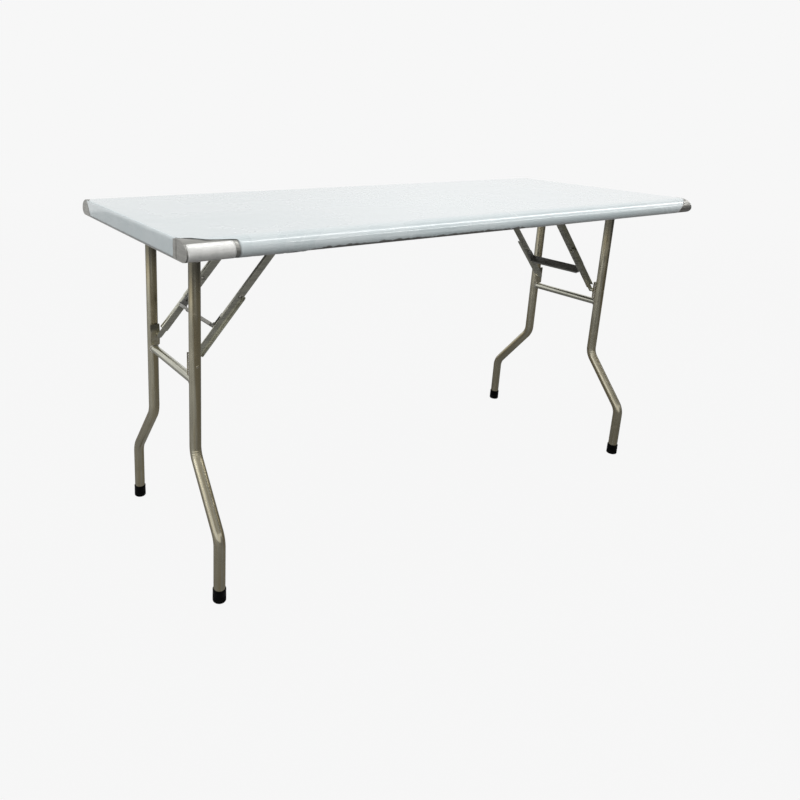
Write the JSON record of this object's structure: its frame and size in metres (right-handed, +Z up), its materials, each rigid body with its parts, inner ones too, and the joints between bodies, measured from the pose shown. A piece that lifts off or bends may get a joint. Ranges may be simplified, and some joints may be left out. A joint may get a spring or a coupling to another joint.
{
  "type": "folding worktable",
  "caption": "Long steel worktable with rolled long edges on two folding frames of bent tube legs, held by folding braces.",
  "frame": {"origin": "on the floor, below the middle of the top", "axes": "+X along the table, +Y across it to its back, +Z up"},
  "size_m": [1.524, 0.61, 0.787],
  "materials": {
    "filmed_top": "folded stainless sheet under a pale, glossy protective film",
    "bare_steel": "bare satin stainless steel",
    "folded_steel": "galvanised folded sheet, dull",
    "bracket_steel": "pressed steel, satin",
    "tube_steel": "polished steel tube, warm grey",
    "arm_steel": "dark satin steel strip",
    "rivet_steel": "bright rivet steel",
    "black_rubber": "matte black rubber"
  },
  "bodies": {
    "table_top": {"top_sheet": "filmed_top", "rail_front": "folded_steel", "rail_back": "folded_steel", "edge_cap_front_left": "bare_steel", "edge_cap_back_left": "bare_steel", "edge_cap_front_right": "bare_steel", "edge_cap_back_right": "bare_steel", "leg_bracket_front_left": "bracket_steel", "leg_bracket_back_left": "bracket_steel", "leg_bracket_front_right": "bracket_steel", "leg_bracket_back_right": "bracket_steel", "brace_bracket_front_left": "bracket_steel", "brace_bracket_back_left": "bracket_steel", "brace_bracket_front_right": "bracket_steel", "brace_bracket_back_right": "bracket_steel", "leg_pin_front_left": "rivet_steel", "leg_pin_back_left": "rivet_steel", "leg_pin_front_right": "rivet_steel", "leg_pin_back_right": "rivet_steel", "brace_pin_front_left": "rivet_steel", "brace_pin_back_left": "rivet_steel", "brace_pin_front_right": "rivet_steel", "brace_pin_back_right": "rivet_steel"},
    "left_leg": {"leg_tube_front_left": "tube_steel", "leg_tube_back_left": "tube_steel", "leg_tie_left": "tube_steel", "foot_cap_front_left": "black_rubber", "foot_cap_back_left": "black_rubber", "leg_lug_front_left": "bracket_steel", "leg_lug_back_left": "bracket_steel"},
    "left_upper_brace": {"upper_arm_front_left": "arm_steel", "upper_arm_back_left": "arm_steel", "brace_crossbar_left": "arm_steel", "elbow_rivet_front_left": "rivet_steel", "elbow_rivet_back_left": "rivet_steel"},
    "left_lower_brace": {"lower_arm_front_left": "arm_steel", "lower_arm_back_left": "arm_steel"},
    "right_leg": {"leg_tube_front_right": "tube_steel", "leg_tube_back_right": "tube_steel", "leg_tie_right": "tube_steel", "foot_cap_front_right": "black_rubber", "foot_cap_back_right": "black_rubber", "leg_lug_front_right": "bracket_steel", "leg_lug_back_right": "bracket_steel"},
    "right_upper_brace": {"upper_arm_front_right": "arm_steel", "upper_arm_back_right": "arm_steel", "brace_crossbar_right": "arm_steel", "elbow_rivet_front_right": "rivet_steel", "elbow_rivet_back_right": "rivet_steel"},
    "right_lower_brace": {"lower_arm_front_right": "arm_steel", "lower_arm_back_right": "arm_steel"}
  },
  "joints": [
    {"name": "left_leg_fold", "type": "hinge", "parent": "table_top", "child": "left_leg", "pos_m": [-0.6635, 0, 0.721], "axis": [0, -1, 0], "range_deg": [0, 90]},
    {"name": "left_upper_brace_fold", "type": "hinge", "parent": "table_top", "child": "left_upper_brace", "pos_m": [-0.4451, 0, 0.729], "axis": [0, 1, 0], "range_deg": [0, 48.88]},
    {"name": "left_elbow_fold", "type": "hinge", "parent": "left_upper_brace", "child": "left_lower_brace", "pos_m": [-0.5455, 0, 0.614], "axis": [0, -1, 0], "range_deg": [0, 180]},
    {"name": "right_leg_fold", "type": "hinge", "parent": "table_top", "child": "right_leg", "pos_m": [0.6819, 0, 0.721], "axis": [0, 1, 0], "range_deg": [0, 87]},
    {"name": "right_upper_brace_fold", "type": "hinge", "parent": "table_top", "child": "right_upper_brace", "pos_m": [0.4635, 0, 0.729], "axis": [0, -1, 0], "range_deg": [0, 47.25]},
    {"name": "right_elbow_fold", "type": "hinge", "parent": "right_upper_brace", "child": "right_lower_brace", "pos_m": [0.5639, 0, 0.614], "axis": [0, 1, 0], "range_deg": [0, 174]}
  ],
  "couplings": [
    {"joint": "left_upper_brace_fold", "follows": "left_leg_fold", "ratio": 0.54309},
    {"joint": "left_elbow_fold", "follows": "left_leg_fold", "ratio": 2},
    {"joint": "right_upper_brace_fold", "follows": "right_leg_fold", "ratio": 0.54309},
    {"joint": "right_elbow_fold", "follows": "right_leg_fold", "ratio": 2}
  ]
}
